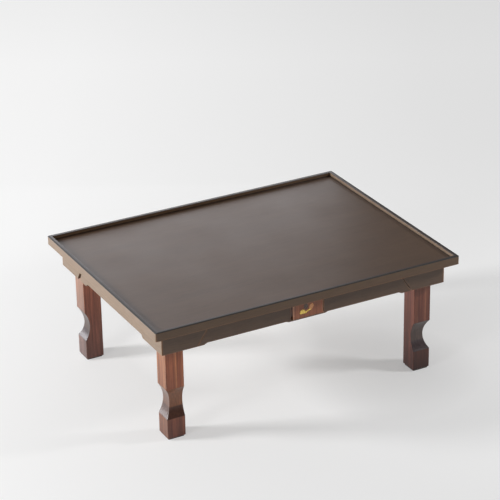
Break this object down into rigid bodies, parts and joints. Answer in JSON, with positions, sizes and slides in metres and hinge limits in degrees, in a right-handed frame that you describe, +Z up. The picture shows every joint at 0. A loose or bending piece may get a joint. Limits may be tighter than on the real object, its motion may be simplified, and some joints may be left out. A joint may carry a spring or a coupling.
{
  "type": "low folding table",
  "caption": "Low rectangular dining table with a raised tray rim, a stepped apron and square scooped rosewood legs that fold flat under the top",
  "frame": {"origin": "on the floor, under the middle of the standing table", "axes": "+X along the table's length to the right, +Y from its front to its back, +Z up"},
  "size_m": [0.8, 0.6, 0.311],
  "materials": {
    "lacquered_wood": "warm grey-brown lacquer with a satin sheen, darker and glossier along the rim's top",
    "rosewood": "reddish-brown rosewood grain under satin lacquer, with dark lacquer in the scoops",
    "under_wood": "plain sealed softwood and plywood under the top",
    "zinc_steel": "zinc-plated pressed steel",
    "felt": "dark brown felt",
    "inlay_gold": "yellow gold lacquer inlay",
    "inlay_coral": "coral lacquer inlay",
    "inlay_grey": "dark grey lacquer inlay"
  },
  "bodies": {
    "top": {"apron_back": "lacquered_wood", "apron_front": "lacquered_wood", "apron_left": "lacquered_wood", "apron_right": "lacquered_wood", "batten_centre": "under_wood", "batten_left": "under_wood", "batten_right": "under_wood", "bracket_screws": "zinc_steel", "centre_panel_back": "rosewood", "centre_panel_front": "rosewood", "corner_board_back_left": "lacquered_wood", "corner_board_back_right": "lacquered_wood", "corner_board_front_left": "lacquered_wood", "corner_board_front_right": "lacquered_wood", "detent_spring_back_left": "zinc_steel", "detent_spring_back_right": "zinc_steel", "detent_spring_front_left": "zinc_steel", "detent_spring_front_right": "zinc_steel", "glue_blocks": "under_wood", "hinge_rail_left": "under_wood", "hinge_rail_right": "under_wood", "inlay_coral_back": "inlay_coral", "inlay_coral_front": "inlay_coral", "inlay_gold_back": "inlay_gold", "inlay_gold_front": "inlay_gold", "inlay_grey_back": "inlay_grey", "inlay_grey_front": "inlay_grey", "leg_bracket_back_left": "zinc_steel", "leg_bracket_back_right": "zinc_steel", "leg_bracket_front_left": "zinc_steel", "leg_bracket_front_right": "zinc_steel", "pivot_pin_back_left": "zinc_steel", "pivot_pin_back_right": "zinc_steel", "pivot_pin_front_left": "zinc_steel", "pivot_pin_front_right": "zinc_steel", "rim_back": "lacquered_wood", "rim_front": "lacquered_wood", "rim_left": "lacquered_wood", "rim_right": "lacquered_wood", "side_board_back_left": "lacquered_wood", "side_board_back_right": "lacquered_wood", "side_board_front_left": "lacquered_wood", "side_board_front_right": "lacquered_wood", "tray_board": "lacquered_wood"},
    "front_left_leg": {"leg_front_left": "rosewood", "foot_pad_front_left": "felt", "guide_pin_front_left": "zinc_steel"},
    "front_right_leg": {"leg_front_right": "rosewood", "foot_pad_front_right": "felt", "guide_pin_front_right": "zinc_steel"},
    "back_left_leg": {"leg_back_left": "rosewood", "foot_pad_back_left": "felt", "guide_pin_back_left": "zinc_steel"},
    "back_right_leg": {"leg_back_right": "rosewood", "foot_pad_back_right": "felt", "guide_pin_back_right": "zinc_steel"}
  },
  "joints": [
    {"name": "front_left_leg_fold", "type": "hinge", "parent": "top", "child": "front_left_leg", "pos_m": [-0.3245, -0.22575, 0.2707], "axis": [0, -1, 0], "range_deg": [0, 90]},
    {"name": "front_right_leg_fold", "type": "hinge", "parent": "top", "child": "front_right_leg", "pos_m": [0.3245, -0.22575, 0.2707], "axis": [0, 1, 0], "range_deg": [0, 90]},
    {"name": "back_left_leg_fold", "type": "hinge", "parent": "top", "child": "back_left_leg", "pos_m": [-0.3245, 0.22575, 0.2707], "axis": [0, -1, 0], "range_deg": [0, 90]},
    {"name": "back_right_leg_fold", "type": "hinge", "parent": "top", "child": "back_right_leg", "pos_m": [0.3245, 0.22575, 0.2707], "axis": [0, 1, 0], "range_deg": [0, 90]}
  ]
}
